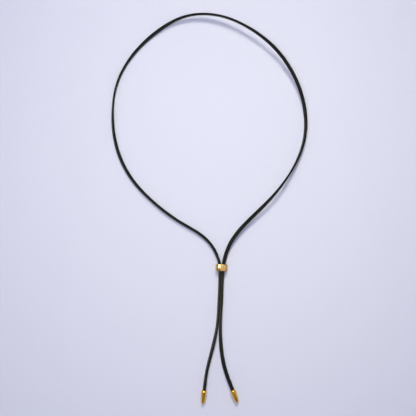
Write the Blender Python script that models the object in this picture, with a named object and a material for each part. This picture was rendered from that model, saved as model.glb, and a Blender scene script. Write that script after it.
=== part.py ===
# Bolo tie: one flat leather lace, drawn twice through a gold slide so that it makes
# a neck loop, with a gold bullet tip on each end. It lies on a flat surface at z = 0.
# Metres. The origin is the middle of the slide's flat underside, +Y runs along the
# slide's bore towards the neck loop, and +X is to the right when seen from above.
import math

import bmesh
import bpy
import numpy as np
from mathutils import Matrix, Vector

# Lace: a flat strip with round edges
LACE_WIDTH = 0.0040
LACE_THICKNESS = 0.0021
LACE_POINTS = 80  # points along the lace's solid
MEASURING_STEPS = 4000  # short steps in which the lace's length is measured

# Slide: a short barrel, oval outside, with a squarer bore for two strands on edge
SLIDE_LENGTH = 0.0074
SLIDE_SIDE_WALL = 0.0021
SLIDE_TOP_WALL = 0.0011
SLIDE_RIM_ROUND = 0.0006
SLIDE_FLAT_DEPTH = 0.00015  # how much of the oval its flat underside cuts off
BORE_CLEARANCE = 0.00035
BORE_MOUTH_FLARE = 0.00025
OUTSIDE_SQUARENESS = 2.6  # exponent of the oval: 2 is an ellipse, more is squarer
BORE_SQUARENESS = 4.0
SLIDE_SIDES = 48

# Tips: turned bullets, widest near the mouth, curving in to a blunt round nose
TIP_LENGTH = 0.0147
TIP_WALL = 0.00073
TIP_CLEARANCE = 0.00025
TIP_GRIP = 0.0045  # length of lace inside a tip
TIP_END_GAP = 0.0003  # from the lace's end to the bottom of the tip's bore
TIP_MOUTH_RIM = 0.00015  # breadth of the flat ring left round the mouth
TIP_MOUTH_ROUND = 0.0024  # length of the rounded shoulder behind the mouth
TIP_BLUNTNESS = 3.3  # 2 would make the body half an ellipse, more is a blunter nose
TIP_SIDES = 28
TIP_BODY_STEPS = 9
ROUND_STEPS = 5  # faces across each rounded edge
SHARP_EDGE = math.radians(40)  # edges sharper than this are not smoothed
MERGE_DISTANCE = 1e-6

MM = 0.001

# The lace's route, chosen by hand, in millimetres and degrees, from the left tip
# through the slide, round the neck loop and back through the slide to the right tip.
# lift: height of the lace's lower edge above the surface.
# turn: how far the lace has rolled from lying flat. At 90 it stands on edge. Between
# 0 and 90 its upper edge leans to the right of the way the route goes, otherwise left.
# held by: what sets the row's height, "rest" for the surface plus the lift.
ROUTE = [
    # x, y, lift, turn, held by
    (-11.4, -136.45, 0.0, 58, "tip"),
    (-10.9, -126.75, 0.0, 58, "tip"),
    (-9.05, -108.25, 0.0, 62, "rest"),
    (-4.5, -85.25, 0.0, 54, "rest"),
    (-1.0, -58.75, 0.0, 68, "rest"),
    (-0.75, -38.75, 0.0, 68, "rest"),
    (-0.95, -18.75, 0.0, 68, "rest"),
    (-1.6, -4.0, 0.0, 66, "slide"),
    (-2.45, 4.0, 0.0, 65, "slide"),
    (-5.75, 13.05, 0.5, 62, "rest"),
    (-16.1, 27.45, 0.0, 61, "rest"),
    (-46.25, 45.6, 0.0, 58, "rest"),
    (-75.65, 65.0, 0.0, 62, "rest"),
    (-101.15, 89.35, 0.0, 52, "rest"),
    (-118.25, 120.05, 0.0, 52, "rest"),
    (-125.15, 154.55, 0.0, 70, "rest"),
    (-122.4, 189.5, 0.0, 101, "rest"),
    (-107.4, 221.25, 0.0, 113, "rest"),
    (-83.65, 247.0, 0.8, 130, "rest"),
    (-53.75, 265.2, 2.9, 104, "rest"),
    (-19.25, 268.15, 5.6, 97, "rest"),
    (13.75, 257.05, 7.2, 108, "rest"),
    (42.6, 237.4, 7.2, 132, "rest"),
    (64.65, 210.4, 4.8, 146, "rest"),
    (78.25, 178.15, 1.8, 133, "rest"),
    (80.75, 143.15, 0.8, 118, "rest"),
    (69.9, 109.9, 3.7, 92, "rest"),
    (51.1, 80.3, 6.6, 62, "rest"),
    (27.75, 53.8, 4.8, 14, "rest"),
    (7.4, 25.1, 2.2, -18, "rest"),
    (3.1, 10.75, 0.6, -26, "rest"),
    (1.95, 4.0, 0.0, -38, "slide"),
    (1.65, -4.0, 0.0, -59, "slide"),
    (1.8, -18.75, 0.0, -68, "rest"),
    (2.15, -38.75, 0.0, -68, "rest"),
    (2.15, -58.75, 0.0, -67, "rest"),
    (4.35, -84.75, 0.0, -30, "rest"),
    (9.75, -107.75, 0.0, -22, "rest"),
    (17.7, -126.75, 0.0, -28, "tip"),
    (21.05, -134.1, 0.0, -30, "tip"),
]


def half_height(turn):
    """Half of how high the lace reaches when it has rolled by turn radians."""
    return (LACE_WIDTH - LACE_THICKNESS) / 2 * abs(math.sin(turn)) + LACE_THICKNESS / 2


def half_breadth(turn):
    """Half of how wide the lace looks from above when it has rolled by turn radians."""
    return (LACE_WIDTH - LACE_THICKNESS) / 2 * abs(math.cos(turn)) + LACE_THICKNESS / 2


# What follows from the sizes above
STRAND_REACH = max(
    abs(x) * MM + half_breadth(math.radians(turn))
    for x, y, lift, turn, held in ROUTE
    if held == "slide"
)
BORE_HALF_WIDTH = STRAND_REACH + BORE_CLEARANCE
BORE_HALF_HEIGHT = LACE_WIDTH / 2 + BORE_CLEARANCE
SLIDE_HALF_WIDTH = BORE_HALF_WIDTH + SLIDE_SIDE_WALL
SLIDE_HALF_HEIGHT = BORE_HALF_HEIGHT + SLIDE_TOP_WALL
SLIDE_AXIS_HEIGHT = SLIDE_HALF_HEIGHT - SLIDE_FLAT_DEPTH
TIP_BORE_RADIUS = LACE_WIDTH / 2 + TIP_CLEARANCE
TIP_RADIUS = TIP_BORE_RADIUS + TIP_WALL


def clear_scene():
    for obj in list(bpy.data.objects):
        bpy.data.objects.remove(obj, do_unlink=True)


def material(name, colour, roughness, metallic):
    made = bpy.data.materials.new(name)
    made.use_nodes = True
    shader = made.node_tree.nodes["Principled BSDF"]
    shader.inputs["Base Color"].default_value = (*colour, 1)
    shader.inputs["Roughness"].default_value = roughness
    shader.inputs["Metallic"].default_value = metallic
    return made


def add_object(name, data, made_of):
    data.materials.append(made_of)
    obj = bpy.data.objects.new(name, data)
    bpy.context.scene.collection.objects.link(obj)
    return obj


def mesh_from(bm, name):
    bmesh.ops.recalc_face_normals(bm, faces=bm.faces)
    mesh = bpy.data.meshes.new(name)
    bm.to_mesh(mesh)
    bm.free()
    mesh.shade_smooth()
    mesh.set_sharp_from_angle(angle=SHARP_EDGE)
    return mesh


def natural_spline(knots, values, at):
    """Cubic spline with free ends through values at knots, read at the places at."""
    step = np.diff(knots)
    slope = np.diff(values, axis=0) / step[:, None]
    count = len(knots)
    system = np.eye(count)
    wanted = np.zeros_like(values)
    for i in range(1, count - 1):
        system[i, i - 1 : i + 2] = (step[i - 1], 2 * (step[i - 1] + step[i]), step[i])
        wanted[i] = 6 * (slope[i] - slope[i - 1])
    bend = np.linalg.solve(system, wanted)
    span = np.clip(np.searchsorted(knots, at, side="right") - 1, 0, count - 2)
    before = (at - knots[span])[:, None]
    after = (knots[span + 1] - at)[:, None]
    width = step[span][:, None]
    curved = (bend[span] * after**3 + bend[span + 1] * before**3) / (6 * width)
    start = (values[span] / width - bend[span] * width / 6) * after
    end = (values[span + 1] / width - bend[span + 1] * width / 6) * before
    return curved + start + end


def route_rows():
    """The route's rows as x, y, lift and turn, in metres and radians."""
    heights = {"tip": TIP_RADIUS, "slide": SLIDE_AXIS_HEIGHT}
    rows = []
    for x, y, lift, turn, held in ROUTE:
        angle = math.radians(turn)
        if held == "rest":
            raised = lift * MM
        else:
            raised = heights[held] - half_height(angle)
        rows.append((x * MM, y * MM, raised, angle))
    return np.array(rows)


def smooth_route(count):
    """Points spaced evenly along the smooth route, and the lace's turn at each."""
    rows = route_rows()
    chords = np.hypot(*np.diff(rows[:, :2], axis=0).T)
    knots = np.concatenate([[0], np.cumsum(chords)])
    dense_at = np.linspace(0, knots[-1], MEASURING_STEPS)
    dense = natural_spline(knots, rows, dense_at)
    run = np.concatenate([[0], np.cumsum(np.hypot(*np.diff(dense[:, :2], axis=0).T))])
    at = np.interp(np.linspace(0, run[-1], count), run, dense_at)
    x, y, lift, turn = natural_spline(knots, rows, at).T
    points = [
        Vector((px, py, max(up, 0) + half_height(angle)))
        for px, py, up, angle in zip(x, y, lift, turn)
    ]
    return points, turn


def make_cord(points, turns):
    curve = bpy.data.curves.new("cord", "CURVE")
    curve.dimensions = "3D"
    curve.twist_mode = "Z_UP"
    curve.extrude = (LACE_WIDTH - LACE_THICKNESS) / 2
    curve.bevel_depth = LACE_THICKNESS / 2
    curve.bevel_resolution = 2
    curve.use_fill_caps = True
    spline = curve.splines.new("POLY")
    spline.points.add(len(points) - 1)
    for place, point, turn in zip(spline.points, points, turns):
        place.co = (*point, 1)
        # An extruded curve stands on edge where its tilt is zero
        place.tilt = math.pi / 2 - turn
    spline.use_smooth = True
    leather = material("dark leather", (0.021, 0.021, 0.015), 0.55, 0)
    return add_object("cord", curve, leather)


def oval(half_width, half_height_, squareness, floor):
    """Points (x, z) round a superellipse whose lowest part is cut flat at -floor."""
    points = []
    for i in range(SLIDE_SIDES):
        angle = 2 * math.pi * (i + 0.5) / SLIDE_SIDES
        c, s = math.cos(angle), math.sin(angle)
        x = math.copysign(abs(c) ** (2 / squareness), c) * half_width
        z = math.copysign(abs(s) ** (2 / squareness), s) * half_height_
        points.append((x, max(z, -floor)))
    return points


def slide_rings():
    """The slide's outline at each place along it, round the outside and back inside."""
    half = SLIDE_LENGTH / 2
    rings = []

    def outside(y, inset):
        outline = oval(
            SLIDE_HALF_WIDTH - inset,
            SLIDE_HALF_HEIGHT - inset,
            OUTSIDE_SQUARENESS,
            SLIDE_AXIS_HEIGHT - inset,
        )
        rings.append((y, outline))

    def inside(y, flare):
        height = BORE_HALF_HEIGHT + flare
        width = BORE_HALF_WIDTH + flare
        rings.append((y, oval(width, height, BORE_SQUARENESS, height)))

    quarter = [math.pi / 2 * i / ROUND_STEPS for i in range(ROUND_STEPS + 1)]
    for angle in quarter:
        rise = SLIDE_RIM_ROUND * (1 - math.cos(angle))
        outside(rise - half, SLIDE_RIM_ROUND * (1 - math.sin(angle)))
    for angle in reversed(quarter):
        rise = SLIDE_RIM_ROUND * (1 - math.cos(angle))
        outside(half - rise, SLIDE_RIM_ROUND * (1 - math.sin(angle)))
    inside(half, BORE_MOUTH_FLARE)
    inside(half - BORE_MOUTH_FLARE, 0)
    inside(BORE_MOUTH_FLARE - half, 0)
    inside(-half, BORE_MOUTH_FLARE)
    return rings


def make_slide():
    bm = bmesh.new()
    loops = []
    for y, outline in slide_rings():
        ring = [bm.verts.new((x, y, z + SLIDE_AXIS_HEIGHT)) for x, z in outline]
        loops.append(ring)
    for first, second in zip(loops, loops[1:] + loops[:1]):
        for i in range(SLIDE_SIDES):
            j = (i + 1) % SLIDE_SIDES
            bm.faces.new((first[i], first[j], second[j], second[i]))
    gold = material("polished gold", (0.72, 0.50, 0.19), 0.16, 1)
    return add_object("slide", mesh_from(bm, "slide"), gold)


def tip_profile():
    """(distance from the mouth, radius) along a tip, from the bore's bottom to the nose."""
    depth = TIP_GRIP + TIP_END_GAP
    profile = [(depth, 0), (depth, TIP_BORE_RADIUS), (0, TIP_BORE_RADIUS)]
    shoulder = TIP_WALL - TIP_MOUTH_RIM
    for i in range(ROUND_STEPS + 1):
        angle = math.pi / 2 * i / ROUND_STEPS
        along = TIP_MOUTH_ROUND * (1 - math.cos(angle))
        profile.append((along, TIP_RADIUS - shoulder * (1 - math.sin(angle))))
    for i in range(1, TIP_BODY_STEPS + 1):
        share = math.cos(math.pi / 2 * i / TIP_BODY_STEPS)
        body = (TIP_LENGTH - TIP_MOUTH_ROUND) * share**TIP_BLUNTNESS
        profile.append((TIP_LENGTH - body, TIP_RADIUS * share))
    return profile


def make_tip(name, end, before):
    """A tip on the lace's end, lying level, in line with the lace's last stretch."""
    heading = Vector((end.x - before.x, end.y - before.y, 0)).normalized()
    bm = bmesh.new()
    verts = [bm.verts.new((radius, along, 0)) for along, radius in tip_profile()]
    edges = [bm.edges.new(pair) for pair in zip(verts, verts[1:])]
    bmesh.ops.spin(
        bm,
        geom=verts + edges,
        cent=(0, 0, 0),
        axis=(0, 1, 0),
        angle=2 * math.pi,
        steps=TIP_SIDES,
        use_merge=True,
    )
    bmesh.ops.remove_doubles(bm, verts=bm.verts, dist=MERGE_DISTANCE)
    gold = material(name + " gold", (0.66, 0.42, 0.10), 0.2, 1)
    tip = add_object(name, mesh_from(bm, name), gold)
    mouth = Vector((end.x, end.y, TIP_RADIUS)) - heading * TIP_GRIP
    turn = math.atan2(-heading.x, heading.y)
    tip.matrix_world = Matrix.Translation(mouth) @ Matrix.Rotation(turn, 4, "Z")
    return tip


def main():
    clear_scene()
    points, turns = smooth_route(LACE_POINTS)
    make_cord(points, turns)
    make_slide()
    make_tip("tip_left", points[0], points[1])
    make_tip("tip_right", points[-1], points[-2])


main()
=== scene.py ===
import math

import bmesh
import bpy
import numpy as np
from mathutils import Matrix, Vector


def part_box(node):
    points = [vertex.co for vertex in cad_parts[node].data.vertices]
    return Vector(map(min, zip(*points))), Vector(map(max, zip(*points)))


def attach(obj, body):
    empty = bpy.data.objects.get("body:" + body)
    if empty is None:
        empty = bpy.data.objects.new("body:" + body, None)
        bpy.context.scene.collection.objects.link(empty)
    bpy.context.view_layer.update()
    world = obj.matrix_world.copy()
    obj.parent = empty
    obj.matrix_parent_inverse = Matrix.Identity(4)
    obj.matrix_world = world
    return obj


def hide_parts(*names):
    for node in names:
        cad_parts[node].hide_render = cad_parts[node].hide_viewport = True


# A bolo tie on a pale table: a leather lace, a gold slide and two gold tips. Lengths are in metres
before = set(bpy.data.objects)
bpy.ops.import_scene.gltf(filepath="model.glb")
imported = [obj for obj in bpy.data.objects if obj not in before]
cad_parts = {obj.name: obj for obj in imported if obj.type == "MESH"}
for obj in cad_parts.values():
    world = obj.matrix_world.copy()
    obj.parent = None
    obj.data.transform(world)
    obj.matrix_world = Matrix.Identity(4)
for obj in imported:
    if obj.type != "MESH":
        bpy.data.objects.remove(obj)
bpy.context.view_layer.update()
print("frame loaded:", ", ".join(sorted(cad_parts)))


# Small helpers for working in edit mode
mergeDistance = 1e-7  # points nearer to each other than this become one
onPlane = 1e-6  # a point this near to a plane lies on it


def deselectAll():
    bpy.ops.object.select_all(action="DESELECT")


def selectOnly(*pieces):
    deselectAll()
    for piece in pieces:
        piece.select_set(True)
    bpy.context.view_layer.objects.active = pieces[0]


def selectPart(kind, test):
    # picks the vertices, edges or faces of the mesh in edit mode that pass the test
    bpy.ops.mesh.select_mode(type=kind)
    bpy.ops.mesh.select_all(action="DESELECT")
    mesh = bpy.context.edit_object.data
    shape = bmesh.from_edit_mesh(mesh)
    for part in {"VERT": shape.verts, "EDGE": shape.edges, "FACE": shape.faces}[kind]:
        if test(part):
            part.select_set(True)
    shape.select_flush_mode()
    bmesh.update_edit_mesh(mesh)


def cleanUp():
    # merges what meets, then turns every face outwards
    bpy.ops.mesh.select_mode(type="VERT")
    bpy.ops.mesh.select_all(action="SELECT")
    bpy.ops.mesh.remove_doubles(threshold=mergeDistance)
    bpy.ops.mesh.normals_make_consistent(inside=False)


# Small helpers for building materials
def feed(tree, socket, value):
    # the value is a number, a colour, or the output of another node
    if isinstance(value, bpy.types.NodeSocket):
        tree.links.new(value, socket)
    elif socket.type == "RGBA":
        socket.default_value = (*value, 1)
    else:
        socket.default_value = value


def addNode(tree, kind, inputs=None, **settings):
    node = tree.nodes.new("ShaderNode" + kind)
    for name, value in settings.items():
        setattr(node, name, value)
    for name, value in (inputs or {}).items():
        feed(tree, node.inputs[name], value)
    return node


def stretched(tree, coordinates, scale, turn=(0, 0, 0)):
    mapping = addNode(tree, "Mapping", {"Vector": coordinates, "Scale": scale, "Rotation": turn})
    return mapping.outputs["Vector"]


def noise(tree, vector, scale=1.0, detail=2.0, roughness=0.5, distortion=0.0):
    values = {"Vector": vector, "Scale": scale, "Detail": detail}
    values.update({"Roughness": roughness, "Distortion": distortion})
    return addNode(tree, "TexNoise", values).outputs["Fac"]


def spread(tree, value, low, high, to=(0.0, 1.0)):
    # values from low to high become the two numbers of to, eased at both ends
    values = {"Value": value, "From Min": low, "From Max": high}
    values.update({"To Min": to[0], "To Max": to[1]})
    return addNode(tree, "MapRange", values, interpolation_type="SMOOTHSTEP").outputs["Result"]


def maths(tree, operation, first, second=0.0):
    node = addNode(tree, "Math", operation=operation)
    for socket, value in zip(node.inputs, (first, second)):
        feed(tree, socket, value)
    return node.outputs["Value"]


def addUp(tree, *parts):
    # the sum of several values, each times its weight
    weighted = [maths(tree, "MULTIPLY", value, weight) for value, weight in parts]
    total = weighted[0]
    for value in weighted[1:]:
        total = maths(tree, "ADD", total, value)
    return total


def blendColours(tree, share, first, second):
    # a Mix node has sockets for every kind of value, and a blend of colours uses these
    node = addNode(tree, "Mix", data_type="RGBA")
    sockets = [s for s in node.inputs if s.name == "Factor" and s.type == "VALUE"][:1]
    sockets += [s for s in node.inputs if s.name in ("A", "B") and s.type == "RGBA"]
    for socket, value in zip(sockets, (share, first, second)):
        feed(tree, socket, value)
    return next(s for s in node.outputs if s.type == "RGBA")


def tint(tree, colour, other, share, strength):
    # moves a colour towards another one, most where the share is 1
    return blendColours(tree, maths(tree, "MULTIPLY", share, strength), colour, other)


def bump(tree, height, distance, under=None):
    values = {"Height": height, "Distance": distance, "Strength": 1.0}
    if under is not None:
        values["Normal"] = under
    return addNode(tree, "Bump", values).outputs["Normal"]


def newMaterial(name):
    material = bpy.data.materials.new(name)
    material.use_nodes = True
    return material, material.node_tree, material.node_tree.nodes["Principled BSDF"]


# The photo looks straight down at the table, turned a little against the clock
cameraView = {
    "middle": (-0.01798, 0.06276),  # the point of the table in the middle of the picture
    "height": 1.5,
    "pictureWidth": 0.4451,  # what the picture spans at the table
    "turn": 3.2,
    "clipEnd": 20,
}


def addCamera(view):
    deselectAll()
    place = (*view["middle"], view["height"])
    bpy.ops.object.camera_add(location=place, rotation=(0, 0, math.radians(view["turn"])))
    camera = bpy.context.object
    camera.name = "cameraAbove"
    camera.data.lens = camera.data.sensor_width * view["height"] / view["pictureWidth"]
    camera.data.clip_end = view["clipEnd"]
    bpy.context.scene.camera = camera


addCamera(cameraView)
print("camera placed")

# The lace: one flat leather strip, about a metre long
lace = {
    "width": 0.0040,
    "thickness": 0.0021,
    "corner": 0.00068,  # radius of its four long edges
    "crown": 0.00005,  # how far each wide face swells in the middle
    "cornerSteps": 4,
    "facePoints": (-0.6, -0.2, 0.2, 0.6),  # places across each wide face, as shares of its half
    "rings": 1300,
    "measuringSteps": 4000,
    "unevenWidth": 0.018,  # share of the width that it may gain or lose
    "unevenThickness": 0.03,
    "unevenEvery": 0.011,  # metres between one swelling and the next
    "seed": 11,
    "tipRadius": 0.00298,
    "tipGrip": 0.0045,  # how far the lace goes into a tip
    "smoothAngle": 50,
}
# x, y, lift of the lower edge, turn in degrees, what holds it there. From the left tip up through
# the slide, round the neck loop and back down to the right tip. At turn 90 the lace stands on edge,
# and between 0 and 90 its upper edge leans right of the way the route goes, otherwise left
laceRoute = [
    (-0.0114, -0.13645, 0.0, 58, "tip"),
    (-0.0109, -0.12675, 0.0, 58, "tip"),
    (-0.00905, -0.10825, 0.0, 62, "rest"),
    (-0.0045, -0.08525, 0.0, 54, "rest"),
    (-0.001, -0.05875, 0.0, 68, "rest"),
    (-0.00075, -0.03875, 0.0, 68, "rest"),
    (-0.00095, -0.01875, 0.0, 68, "rest"),
    (-0.0016, -0.004, 0.0, 66, "slide"),
    (-0.00245, 0.004, 0.0, 65, "slide"),
    (-0.00575, 0.01305, 0.0005, 62, "rest"),
    (-0.0161, 0.02745, 0.0, 61, "rest"),
    (-0.04625, 0.0456, 0.0, 58, "rest"),
    (-0.07565, 0.065, 0.0, 62, "rest"),
    (-0.10115, 0.08935, 0.0, 52, "rest"),
    (-0.11825, 0.12005, 0.0, 52, "rest"),
    (-0.12515, 0.15455, 0.0, 70, "rest"),
    (-0.1224, 0.1895, 0.0, 101, "rest"),
    (-0.1074, 0.22125, 0.0, 113, "rest"),
    (-0.08365, 0.247, 0.0008, 130, "rest"),
    (-0.05375, 0.2652, 0.0029, 104, "rest"),
    (-0.01925, 0.26815, 0.0056, 97, "rest"),
    (0.01375, 0.25705, 0.0072, 108, "rest"),
    (0.0426, 0.2374, 0.0072, 132, "rest"),
    (0.06465, 0.2104, 0.0048, 146, "rest"),
    (0.07825, 0.17815, 0.0018, 133, "rest"),
    (0.08075, 0.14315, 0.0008, 118, "rest"),
    (0.0699, 0.1099, 0.0037, 92, "rest"),
    (0.0511, 0.0803, 0.0066, 62, "rest"),
    (0.02775, 0.0538, 0.0048, 14, "rest"),
    (0.0074, 0.0251, 0.0022, -18, "rest"),
    (0.0031, 0.01075, 0.0006, -26, "rest"),
    (0.00195, 0.004, 0.0, -38, "slide"),
    (0.00165, -0.004, 0.0, -59, "slide"),
    (0.0018, -0.01875, 0.0, -68, "rest"),
    (0.00215, -0.03875, 0.0, -68, "rest"),
    (0.00215, -0.05875, 0.0, -67, "rest"),
    (0.00435, -0.08475, 0.0, -30, "rest"),
    (0.00975, -0.10775, 0.0, -22, "rest"),
    (0.0177, -0.12675, 0.0, -28, "tip"),
    (0.02105, -0.1341, 0.0, -30, "tip"),
]
slideFlat = 0.00015  # how much of the slide's oval its flat underside cuts off
slideLow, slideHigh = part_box("slide")
slideAxis = (slideHigh.z - slideFlat) / 2


def smoothThrough(knots, values, at):
    # a cubic spline with free ends
    step = np.diff(knots)
    slope = np.diff(values, axis=0) / step[:, None]
    count = len(knots)
    system = np.eye(count)
    wanted = np.zeros_like(values)
    for i in range(1, count - 1):
        system[i, i - 1:i + 2] = (step[i - 1], 2 * (step[i - 1] + step[i]), step[i])
        wanted[i] = 6 * (slope[i] - slope[i - 1])
    bend = np.linalg.solve(system, wanted)
    span = np.clip(np.searchsorted(knots, at, side="right") - 1, 0, count - 2)
    before = (at - knots[span])[:, None]
    after = (knots[span + 1] - at)[:, None]
    width = step[span][:, None]
    curved = (bend[span] * after**3 + bend[span + 1] * before**3) / (6 * width)
    start = (values[span] / width - bend[span] * width / 6) * after
    end = (values[span + 1] / width - bend[span + 1] * width / 6) * before
    return curved + start + end


def laceSection(settings):
    # the outline across and through the lace, counter-clockwise from its lower left corner
    corner = settings["corner"]
    flatWidth = settings["width"] / 2 - corner
    halfThick = settings["thickness"] / 2
    outline = []
    for sideX, sideY, start in ((-1, -1, 180), (1, -1, 270), (1, 1, 0), (-1, 1, 90)):
        for step in range(settings["cornerSteps"] + 1):
            angle = math.radians(start + 90 * step / settings["cornerSteps"])
            across = sideX * flatWidth + corner * math.cos(angle)
            through = sideY * (halfThick - corner) + corner * math.sin(angle)
            outline.append((across, through))
        if sideX == sideY:  # a wide face follows this corner
            for share in settings["facePoints"]:
                rise = settings["crown"] * (1 - share**2)
                outline.append((-sideX * share * flatWidth, sideY * (halfThick + rise)))
    return np.array(outline)


def reach(outline, turn):
    # how far the outline reaches up and down when it has rolled by turn
    return np.max(outline[..., 0] * np.sin(turn) + outline[..., 1] * np.cos(turn), axis=-1)


def laceLine(settings, route, outline):
    # x, y, lift and turn at each ring, evenly spaced along the route
    heldAt = {"tip": settings["tipRadius"], "slide": slideAxis}
    rows = []
    for x, y, lift, turn, held in route:
        angle = math.radians(turn)
        low = lift if held == "rest" else heldAt[held] - reach(outline, angle)
        rows.append((x, y, low, angle))
    rows = np.array(rows)
    knots = np.concatenate([[0], np.cumsum(np.hypot(*np.diff(rows[:, :2], axis=0).T))])
    dense = np.linspace(0, knots[-1], settings["measuringSteps"])
    steps = np.hypot(*np.diff(smoothThrough(knots, rows, dense)[:, :2], axis=0).T)
    run = np.concatenate([[0], np.cumsum(steps)])
    at = np.interp(np.linspace(0, run[-1], settings["rings"]), run, dense)
    return smoothThrough(knots, rows, at).T, np.linspace(0, run[-1], settings["rings"])


def wander(length, rings, every, share, random):
    # a slow random change about 1 along the lace
    count = int(length / every) + 2
    values = 1 + share * random.uniform(-1, 1, (count, 1))
    return smoothThrough(np.linspace(0, length, count), values, np.linspace(0, length, rings))[:, 0]


def makeLace(settings, route):
    random = np.random.default_rng(settings["seed"])
    outline = laceSection(settings)
    (x, y, lift, turn), run = laceLine(settings, route, outline)
    rings, sides = settings["rings"], len(outline)
    every = settings["unevenEvery"]
    sections = np.repeat(outline[None], rings, axis=0)
    sections[..., 0] *= wander(run[-1], rings, every, settings["unevenWidth"], random)[:, None]
    sections[..., 1] *= wander(run[-1], rings, every, settings["unevenThickness"], random)[:, None]
    upright = reach(sections, turn[:, None])
    middle = np.column_stack([x, y, np.maximum(lift, 0) + upright])
    ahead = np.gradient(middle, axis=0)
    ahead /= np.linalg.norm(ahead, axis=1)[:, None]
    right = np.cross(ahead, (0, 0, 1))
    right /= np.linalg.norm(right, axis=1)[:, None]
    up = np.cross(right, ahead)
    cosTurn, sinTurn = np.cos(turn)[:, None], np.sin(turn)[:, None]
    acrossWay = cosTurn * right + sinTurn * up
    throughWay = cosTurn * up - sinTurn * right
    corners = middle[:, None] + sections[..., :1] * acrossWay[:, None]
    corners = corners + sections[..., 1:] * throughWay[:, None]
    faces = []
    for ring in range(rings - 1):
        for side in range(sides):
            a, b = ring * sides + side, ring * sides + (side + 1) % sides
            faces.append((a, a + sides, b + sides, b))
    faces.append(tuple(range(sides)))
    faces.append(tuple(reversed(range((rings - 1) * sides, rings * sides))))
    mesh = bpy.data.meshes.new("leatherLace")
    mesh.from_pydata(corners.reshape(-1, 3).tolist(), [], faces)
    straight = mesh.attributes.new("laceRun", "FLOAT_VECTOR", "POINT")  # the lace laid out straight
    places = np.dstack([np.repeat(run[:, None], sides, axis=1), sections[..., 0], sections[..., 1]])
    straight.data.foreach_set("vector", places.astype(np.float32).ravel())
    piece = bpy.data.objects.new("leatherLace", mesh)
    bpy.context.collection.objects.link(piece)
    selectOnly(piece)
    bpy.ops.object.mode_set(mode="EDIT")
    bpy.ops.mesh.select_all(action="SELECT")
    bpy.ops.mesh.normals_make_consistent(inside=False)
    bpy.ops.object.mode_set(mode="OBJECT")
    bpy.ops.object.shade_smooth_by_angle(angle=math.radians(settings["smoothAngle"]))
    return piece, middle


leatherLook = {
    "face": (0.0088, 0.0088, 0.0056),
    "faceWorn": (0.0185, 0.0182, 0.0120),
    # painted shade: the darker colour laid into the grain's hollows and into the creases
    "paintedHollowShade": (0.0036, 0.0036, 0.0025),
    # partly painted shade: the edges' dye, darkened further where the sides turn from the light
    "edge": (0.0020, 0.0020, 0.0014),
    # painted sheen: the paler colour of the strands below the slide
    "pale": (0.0300, 0.0295, 0.0235),
    "roughness": (0.40, 0.60),
    "specular": 0.12,
    "sheen": 0.24,
    "sheenRoughness": 0.4,
    "sheenTint": (1.0, 0.97, 0.82),
    # cells per metre along the lace, across it and through it, or one number for all three
    "grainCells": (1900, 2500, 2500),
    "creaseCells": (1500, 170, 260),
    "scuffCells": (2300, 240, 500),
    "streakCells": (16, 1500, 1500),
    "wobbleCells": 1400,
    "poreCells": 11000,
    "patchCells": 42,
    "wobble": 0.00028,  # how far the grain is bent
    "scuffAngle": 34,
    # where a mark begins and where it is full
    "grainWall": (0.0, 0.22),
    "creaseRange": (0.56, 0.70),
    "scuffRange": (0.55, 0.74),
    "patchRange": (0.35, 0.70),
    "streakRange": (0.42, 0.75),
    "shineRange": (0.1, 0.8),
    "edgeRange": (0.36, 0.49),  # distance from the middle line, as a share of the width
    "paintedSheenFoot": (-0.108, -0.070),  # y at the lower end of the stretch with the painted sheen
    "paintedSheenHead": (0.0, -0.005),  # y at its upper end, inside the slide
    # heights of the marks
    "poreDepth": 0.000012,
    "grainDepth": 0.000035,
    "creaseDepth": 0.00006,
    "streakDepth": 0.00003,
}


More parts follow.
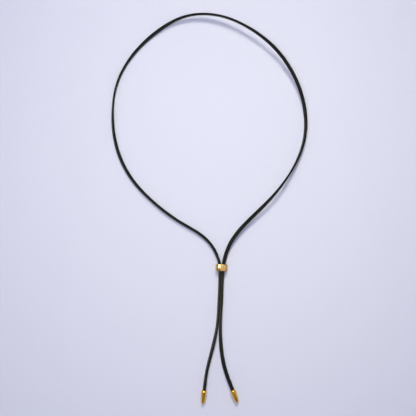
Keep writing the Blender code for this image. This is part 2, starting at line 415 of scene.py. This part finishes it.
def leatherMaterial(look, settings):
    material, tree, shader = newMaterial("oliveBlackLeather")
    run = addNode(tree, "Attribute", attribute_name="laceRun").outputs["Vector"]
    # pebbled grain: small cells, bent by a coarser noise so that no two are alike
    wobble = addNode(tree, "TexNoise", {"Vector": run, "Scale": look["wobbleCells"], "Detail": 2.0})
    bent = addNode(tree, "VectorMath", {0: wobble.outputs["Color"]}, operation="MULTIPLY_ADD")
    bent.inputs[1].default_value = (look["wobble"],) * 3
    tree.links.new(run, bent.inputs[2])
    cells = stretched(tree, bent.outputs["Vector"], look["grainCells"])
    grain = addNode(tree, "TexVoronoi", {"Vector": cells, "Scale": 1.0}, feature="DISTANCE_TO_EDGE")
    pebble = spread(tree, grain.outputs["Distance"], *look["grainWall"])
    low = maths(tree, "SUBTRACT", 1.0, pebble)
    pores = noise(tree, run, look["poreCells"], detail=3.0, roughness=0.6)
    # wrinkles across the lace, where it has been bent
    creaseMap = noise(tree, stretched(tree, run, look["creaseCells"]), detail=4.0, roughness=0.55,
                      distortion=0.4)
    crease = spread(tree, creaseMap, *look["creaseRange"])
    # faint slanting scuffs, and streaks left by the cutter along it
    slant = (0, 0, math.radians(look["scuffAngle"]))
    scuffMap = noise(tree, stretched(tree, run, look["scuffCells"], slant), detail=3.0)
    streak = noise(tree, stretched(tree, run, look["streakCells"]), detail=3.0)
    patches = noise(tree, run, look["patchCells"], detail=3.0, roughness=0.6)
    worn = addUp(tree, (spread(tree, patches, *look["patchRange"]), 0.55),
                 (spread(tree, streak, *look["streakRange"]), 0.35),
                 (spread(tree, scuffMap, *look["scuffRange"]), 0.45))
    # the edges are darker: partly their dye, partly painted shade where the lace's sides turn away
    # from the light
    across = addNode(tree, "SeparateXYZ", {"Vector": run}).outputs["Y"]
    edgeFrom, edgeFull = (settings["width"] * share for share in look["edgeRange"])
    edge = spread(tree, maths(tree, "ABSOLUTE", across), edgeFrom, edgeFull)
    # below the slide the strands are painted paler: a painted sheen for the light that the strands on
    # edge catch there
    place = addNode(tree, "SeparateXYZ", {"Vector": addNode(tree, "TexCoord").outputs["Object"]})
    pale = maths(tree, "MULTIPLY", spread(tree, place.outputs["Y"], *look["paintedSheenFoot"]),
                 spread(tree, place.outputs["Y"], *look["paintedSheenHead"]))
    colour = blendColours(tree, worn, look["face"], look["faceWorn"])
    # painted shade in the grain's hollows and in the creases
    colour = tint(tree, colour, look["paintedHollowShade"], low, strength=0.65)
    colour = tint(tree, colour, look["paintedHollowShade"], crease, strength=0.5)
    # edges darkened: partly dye, partly painted shade
    colour = tint(tree, colour, look["edge"], edge, strength=0.85)
    # painted sheen on the strands below the slide
    colour = tint(tree, colour, look["pale"], pale, strength=0.5)
    shine = addUp(tree, (low, 0.5), (patches, 0.5))
    roughness = spread(tree, shine, *look["shineRange"], look["roughness"])
    normal = bump(tree, pores, look["poreDepth"])
    normal = bump(tree, pebble, look["grainDepth"], normal)
    normal = bump(tree, maths(tree, "MULTIPLY", crease, -1.0), look["creaseDepth"], normal)
    normal = bump(tree, streak, look["streakDepth"], normal)
    tree.links.new(colour, shader.inputs["Base Color"])
    tree.links.new(roughness, shader.inputs["Roughness"])
    tree.links.new(normal, shader.inputs["Normal"])
    shader.inputs["Specular IOR Level"].default_value = look["specular"]
    shader.inputs["Sheen Weight"].default_value = look["sheen"]
    shader.inputs["Sheen Roughness"].default_value = look["sheenRoughness"]
    shader.inputs["Sheen Tint"].default_value = (*look["sheenTint"], 1)
    return material


leatherLace, laceMiddle = makeLace(lace, laceRoute)
leatherLace.data.materials.append(leatherMaterial(leatherLook, lace))
print("lace made:", len(leatherLace.data.vertices), "points")

# The slide: a polished gold barrel, oval in section, with a squarer bore for the two strands
slide = {
    "squareness": 2.6,  # 2 would be an ellipse, more is squarer
    "boreSquareness": 4.0,
    "quarterSteps": 26,
    "sideWall": 0.0021,
    "topWall": 0.0011,
    "rings": 11,
    "barrel": 0.00014,  # how much thinner it is at its ends than in the middle
    "overhang": 0.0005,  # how far the bore stands out at each end until it is joined to the outside
    "rimRound": 0.0006,
    "rimSteps": 6,
    "mouthRound": 0.00025,
    "mouthSteps": 3,
    "smoothAngle": 35,
}


def ovalTube(name, length, halfWidth, halfHeight, squareness, settings):
    # a block whose four long edges are rounded until they meet, open at both ends and cut into rings
    deselectAll()
    bpy.ops.mesh.primitive_cube_add(size=2, location=(0, 0, slideAxis))
    tube = bpy.context.object
    tube.name = name
    tube.scale = (halfWidth, length / 2, halfHeight)
    bpy.ops.object.transform_apply(location=True, rotation=True, scale=True)
    bpy.ops.object.mode_set(mode="EDIT")
    selectPart("EDGE", lambda edge: abs(edge.verts[0].co.y - edge.verts[1].co.y) > length / 2)
    bpy.ops.mesh.bevel(offset_type="PERCENT", offset_pct=50, segments=settings["quarterSteps"],
                       profile=2 ** (-2 / squareness))
    cleanUp()
    selectPart("FACE", lambda face: abs(face.normal.y) > 0.9)  # the two ends
    bpy.ops.mesh.delete(type="ONLY_FACE")
    for ring in range(1, settings["rings"]):
        bpy.ops.mesh.select_all(action="SELECT")
        place = (0, length * (ring / settings["rings"] - 0.5), 0)
        bpy.ops.mesh.bisect(plane_co=place, plane_no=(0, 1, 0))
    bpy.ops.object.mode_set(mode="OBJECT")
    return tube


def makeSlide(settings):
    length = slideHigh.y - slideLow.y
    halfWidth = (slideHigh.x - slideLow.x) / 2
    halfHeight = slideHigh.z - slideAxis
    outside = ovalTube("goldSlide", length, halfWidth, halfHeight, settings["squareness"], settings)
    boreWidth, boreHeight = halfWidth - settings["sideWall"], halfHeight - settings["topWall"]
    boreLength = length + 2 * settings["overhang"]
    bore = ovalTube("bore", boreLength, boreWidth, boreHeight, settings["boreSquareness"], settings)
    # the outside bulges gently, like a barrel, and rests on a narrow flat
    selectOnly(outside)
    bpy.ops.object.mode_set(mode="EDIT")
    for ring in range(settings["rings"] + 1):
        place = length * (ring / settings["rings"] - 0.5)
        selectPart("VERT", lambda vert: abs(vert.co.y - place) < onPlane)
        drop = settings["barrel"] * (2 * place / length) ** 2
        thinner = (1 - drop / halfWidth, 1, 1 - drop / halfHeight)
        bpy.ops.transform.resize(value=thinner, center_override=(0, 0, slideAxis))
    selectPart("VERT", lambda vert: vert.co.z < 0)
    bpy.ops.transform.resize(value=(1, 1, 0), center_override=(0, 0, 0))
    bpy.ops.object.mode_set(mode="OBJECT")
    selectOnly(outside, bore)
    bpy.ops.object.join()
    bpy.ops.object.mode_set(mode="EDIT")
    # the ends close while the bore stands out of them, and then it is pressed flush
    for side in (-1, 1):
        selectPart("EDGE", lambda edge: edge.is_boundary and edge.verts[0].co.y * side > 0)
        bpy.ops.mesh.bridge_edge_loops()
    selectPart("VERT", lambda vert: abs(vert.co.y) > length / 2 + onPlane)
    bpy.ops.transform.resize(value=(1, length / boreLength, 1), center_override=(0, 0, slideAxis))
    cleanUp()

    def onBore(vert):
        # the bore's wall is where the sum is 1, and the outside is well past it
        across = abs(vert.co.x / boreWidth) ** settings["boreSquareness"]
        up = abs((vert.co.z - slideAxis) / boreHeight) ** settings["boreSquareness"]
        return across + up < 1.1

    def onRim(edge, inner):
        # true for an end's edge that belongs to the bore, or else to the outside
        atEnd = all(abs(abs(vert.co.y) - length / 2) < onPlane for vert in edge.verts)
        return atEnd and all(onBore(vert) == inner for vert in edge.verts)

    selectPart("EDGE", lambda edge: onRim(edge, False))
    bpy.ops.mesh.bevel(offset=settings["rimRound"], segments=settings["rimSteps"], profile=0.5)
    selectPart("EDGE", lambda edge: onRim(edge, True))
    bpy.ops.mesh.bevel(offset=settings["mouthRound"], segments=settings["mouthSteps"], profile=0.5)
    bpy.ops.object.mode_set(mode="OBJECT")
    bpy.ops.object.shade_smooth_by_angle(angle=math.radians(settings["smoothAngle"]))
    return outside


goldLook = {
    "slide": {
        "colour": (0.88, 0.57, 0.235),
        "deeper": (0.78, 0.44, 0.13),
        "roughness": (0.10, 0.20),
    },
    "tip": {
        "colour": (0.95, 0.58, 0.095),
        "deeper": (0.88, 0.47, 0.055),
        "roughness": (0.10, 0.22),
    },
}
# The marks that all the gold pieces share
goldMarks = {
    # cells per metre
    "cloudCells": 320,
    "smearCells": 900,
    "dustCells": 6500,
    "turnedCells": (30, 30, 5200),  # the fine rings round a turned piece
    "scratchLength": 120,
    "scratches": ((12, 5200), (57, 4300), (-38, 6100), (81, 4700)),  # angle, cells across them
    "scratchSquash": 0.02,  # cells through the metal, as a share of those across a scratch
    # where a mark begins and where it is full
    "cloudRange": (0.38, 0.68),
    "smearRange": (0.35, 0.70),
    "dustRange": (0.70, 0.78),
    "scratchRange": (0.66, 0.76),
    # heights of the marks
    "scratchDepth": 0.000003,
    "cloudDepth": 0.00002,
    "turnedDepth": 0.000003,
}


def goldMaterial(name, look, marks, turnedOn=None):
    # polished plating: cloudy tone and hairline scratches in several ways. A turned piece has fine
    # rings too, and its marks follow the attribute that holds its points from before it was laid down
    material, tree, shader = newMaterial(name)
    if turnedOn is None:
        run = addNode(tree, "TexCoord").outputs["Object"]
    else:
        run = addNode(tree, "Attribute", attribute_name=turnedOn).outputs["Vector"]
    clouds = noise(tree, run, marks["cloudCells"], detail=3.0, roughness=0.6)
    smears = noise(tree, run, marks["smearCells"], detail=4.0, roughness=0.65, distortion=0.6)
    scratches = None
    for angle, cells in marks["scratches"]:
        size = (marks["scratchLength"], cells, cells * marks["scratchSquash"])
        turned = stretched(tree, run, size, (0, 0, math.radians(angle)))
        hairMap = noise(tree, turned, roughness=0.7)
        hair = spread(tree, hairMap, *marks["scratchRange"])
        scratches = hair if scratches is None else maths(tree, "MAXIMUM", scratches, hair)
    dust = spread(tree, noise(tree, run, marks["dustCells"]), *marks["dustRange"])
    cloudy = spread(tree, clouds, *marks["cloudRange"])
    colour = blendColours(tree, cloudy, look["colour"], look["deeper"])
    colour = tint(tree, colour, look["deeper"], dust, strength=0.5)
    rough = addUp(tree, (spread(tree, smears, *marks["smearRange"]), 0.6), (scratches, 0.4))
    roughness = spread(tree, rough, 0.0, 1.0, look["roughness"])
    normal = bump(tree, maths(tree, "MULTIPLY", scratches, -1.0), marks["scratchDepth"])
    normal = bump(tree, clouds, marks["cloudDepth"], normal)
    if turnedOn is not None:
        rings = noise(tree, stretched(tree, run, marks["turnedCells"]))
        normal = bump(tree, rings, marks["turnedDepth"], normal)
    tree.links.new(colour, shader.inputs["Base Color"])
    tree.links.new(roughness, shader.inputs["Roughness"])
    tree.links.new(normal, shader.inputs["Normal"])
    shader.inputs["Metallic"].default_value = 1.0
    return material


goldSlide = makeSlide(slide)
goldSlide.data.materials.append(goldMaterial("polishedGold", goldLook["slide"], goldMarks))
print("slide made:", len(goldSlide.data.vertices), "points")

# The tips: turned bullets, widest near the mouth, curving in to a blunt round nose
tip = {
    "length": 0.0147,
    "radius": lace["tipRadius"],
    "boreRadius": 0.00225,
    "boreDepth": 0.0048,
    "mouthFlare": 0.00012,
    "mouthRim": 0.00015,
    "mouthRound": 0.0024,  # length of the shoulder behind the mouth
    "bluntness": 3.3,  # 2 would make the body half an ellipse, more is a blunter nose
    "lastRing": 0.01,  # the ring that closes to a point at the nose, as a share of the radius
    "sides": 72,
    "roundSteps": 12,
    "bodySteps": 28,
    "smoothAngle": 35,
}


def tipStations(settings):
    # distance from the mouth and radius, from the bottom of the bore round to the nose
    radius, wall = settings["radius"], settings["radius"] - settings["boreRadius"]
    flare, rim = settings["mouthFlare"], settings["mouthRim"]
    stations = [
        (settings["boreDepth"], settings["boreRadius"]),
        (flare, settings["boreRadius"]),
        (0.0, settings["boreRadius"] + flare),
    ]
    shoulder = wall - rim
    for step in range(settings["roundSteps"] + 1):
        angle = math.pi / 2 * step / settings["roundSteps"]
        along = settings["mouthRound"] * (1 - math.cos(angle))
        stations.append((along, radius - shoulder * (1 - math.sin(angle))))
    for step in range(1, settings["bodySteps"]):
        share = math.cos(math.pi / 2 * step / settings["bodySteps"])
        body = (settings["length"] - settings["mouthRound"]) * share ** settings["bluntness"]
        stations.append((settings["length"] - body, radius * share))
    stations.append((settings["length"], radius * settings["lastRing"]))
    return stations


def makeTip(settings):
    # one disc, extruded and resized from the bottom of the bore out to the nose
    stations = tipStations(settings)
    along, radius = stations[0]
    deselectAll()
    bpy.ops.mesh.primitive_circle_add(vertices=settings["sides"], radius=radius, fill_type="NGON",
                                      location=(0, 0, 0))
    piece = bpy.context.object
    bpy.ops.object.mode_set(mode="EDIT")
    bpy.ops.mesh.select_all(action="SELECT")
    bpy.ops.transform.translate(value=(0, 0, along))
    bpy.ops.mesh.select_mode(type="FACE")
    for nextAlong, nextRadius in stations[1:]:
        bpy.ops.mesh.extrude_region_move(TRANSFORM_OT_translate={"value": (0, 0, nextAlong - along)})
        share = nextRadius / radius
        bpy.ops.transform.resize(value=(share, share, 1), center_override=(0, 0, nextAlong))
        along, radius = nextAlong, nextRadius
    bpy.ops.mesh.merge(type="COLLAPSE")
    cleanUp()
    bpy.ops.object.mode_set(mode="OBJECT")
    # the upright tip's points are kept, for the marks that run round it
    places = np.empty(len(piece.data.vertices) * 3, np.float32)
    piece.data.vertices.foreach_get("co", places)
    upright = piece.data.attributes.new("tipRun", "FLOAT_VECTOR", "POINT")
    upright.data.foreach_set("vector", places)
    bpy.ops.object.shade_smooth_by_angle(angle=math.radians(settings["smoothAngle"]))
    return piece


def layTip(model, name, end, before, settings):
    # a copy of the tip, laid level on the table in line with the lace's last stretch
    selectOnly(model)
    bpy.ops.object.duplicate()
    piece = bpy.context.object
    piece.name = name
    heading = Vector((end[0] - before[0], end[1] - before[1], 0)).normalized()
    piece.location = Vector((end[0], end[1], settings["radius"])) - heading * lace["tipGrip"]
    piece.rotation_euler = (math.radians(-90), 0, math.atan2(-heading.x, heading.y))
    bpy.ops.object.transform_apply(location=True, rotation=True, scale=True)
    return piece


tipModel = makeTip(tip)
tipModel.data.materials.append(goldMaterial("turnedGold", goldLook["tip"], goldMarks, "tipRun"))
ends = {
    "goldTipLeft": (laceMiddle[0], laceMiddle[1]),
    "goldTipRight": (laceMiddle[-1], laceMiddle[-2]),
}
goldTips = [layTip(tipModel, name, end, before, tip) for name, (end, before) in ends.items()]
bpy.data.objects.remove(tipModel)
print("tips made:", len(goldTips))

# What each piece stands for, and the body that it goes with
for piece, node, slot in (
    (leatherLace, "cord", "cord_leather"),
    (goldSlide, "slide", "slide_gold"),
    (goldTips[0], "tip_left", "tip_gold"),
    (goldTips[1], "tip_right", "tip_gold"),
):
    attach(piece, "root")
    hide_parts(node)

# The table, the light and the surroundings
floorLook = {
    "size": 7.0,
    "colour": (0.634, 0.625, 0.752),
    "fleck": (0.609, 0.600, 0.721),
    "roughness": 0.62,
    "specular": 0.2,
    "fleckCells": 900,  # per metre
    "fleckRange": (0.40, 0.70),
    "grainCells": 2600,
    "grainDepth": 0.00002,
}


def addFloor(look):
    deselectAll()
    bpy.ops.mesh.primitive_plane_add(size=look["size"], location=(0, 0, 0))
    floor = bpy.context.object
    floor.name = "paleTable"
    material, tree, shader = newMaterial("palePaper")
    run = addNode(tree, "TexCoord").outputs["Object"]
    flecks = spread(tree, noise(tree, run, look["fleckCells"], detail=3.0), *look["fleckRange"])
    colour = blendColours(tree, flecks, look["colour"], look["fleck"])
    normal = bump(tree, noise(tree, run, look["grainCells"]), look["grainDepth"])
    tree.links.new(colour, shader.inputs["Base Color"])
    tree.links.new(normal, shader.inputs["Normal"])
    shader.inputs["Roughness"].default_value = look["roughness"]
    shader.inputs["Specular IOR Level"].default_value = look["specular"]
    floor.data.materials.append(material)


# Each lamp: how many degrees it leans from straight up, towards the right and the top of the photo.
# Its target is the point of the table that it faces. A spread below 180 is a grid on its front
lamps = {
    "softboxLeft": {"leanRight": -17, "leanTop": 8.5, "distance": 1.6, "size": (0.70, 0.60),
                    "power": 9.0, "colour": (0.81, 0.87, 1.0), "glossy": True},
    "softboxRight": {"leanRight": 20, "leanTop": 5, "distance": 1.6, "size": (1.42, 0.90),
                     "power": 2.7, "colour": (0.87, 0.92, 0.99), "glossy": True},
    "cardTop": {"leanRight": 3, "leanTop": 49, "distance": 1.5, "size": (0.7, 0.5),
                "power": 3.9, "colour": (1.0, 0.99, 0.98), "glossy": True},
    "keyFromTop": {"leanRight": 0, "leanTop": 47, "distance": 1.5, "size": (0.50, 0.34),
                   "power": 0.74, "colour": (1.0, 1.0, 0.74), "glossy": False,
                   "spread": 35, "target": (0.0, 0.045)},
    "cardLowLeft": {"leanRight": -14, "leanTop": -24, "distance": 1.6, "size": (0.60, 0.60),
                    "power": 0.30, "colour": (1.0, 0.97, 0.90), "glossy": True},
    "glowAbove": {"leanRight": 1, "leanTop": 18, "distance": 0.46, "size": (0.34, 0.34),
                  "power": 0.14, "colour": (0.82, 0.88, 1.0), "glossy": False},
}
surroundings = {
    "overhead": (0.135, 0.132, 0.166),
    "around": (0.600, 0.620, 0.730),
    "fadeHeights": (0.05, 0.80),  # where it turns from around to overhead: 0 is level, 1 straight up
}


def addLamp(name, lamp):
    right, top = math.radians(lamp["leanRight"]), math.radians(lamp["leanTop"])
    way = Vector((math.tan(right), math.tan(top), 1)).normalized()
    deselectAll()
    target = Vector((*lamp.get("target", (0, 0)), 0))
    bpy.ops.object.light_add(type="AREA", location=target + way * lamp["distance"])
    light = bpy.context.object
    light.name = name
    sideways = Vector((0, 1, 0)).cross(way).normalized()
    light.rotation_euler = Matrix((sideways, way.cross(sideways), way)).transposed().to_euler()
    light.data.shape = "RECTANGLE"
    light.data.size, light.data.size_y = lamp["size"]
    light.data.energy = lamp["power"]
    light.data.color = lamp["colour"]
    light.data.spread = math.radians(lamp.get("spread", 180))
    light.visible_camera = False
    light.visible_glossy = lamp["glossy"]


def addSurroundings(look):
    world = bpy.data.worlds.new("studio")
    world.use_nodes = True
    bpy.context.scene.world = world
    tree = world.node_tree
    way = addNode(tree, "TexCoord").outputs["Generated"]
    height = addNode(tree, "SeparateXYZ", {"Vector": way}).outputs["Z"]
    share = spread(tree, height, *look["fadeHeights"])
    colour = blendColours(tree, share, look["around"], look["overhead"])
    tree.links.new(colour, tree.nodes["Background"].inputs["Color"])


addFloor(floorLook)
for name, lamp in lamps.items():
    addLamp(name, lamp)
addSurroundings(surroundings)
bpy.context.scene.view_settings.view_transform = "Standard"
print("table and light ready")
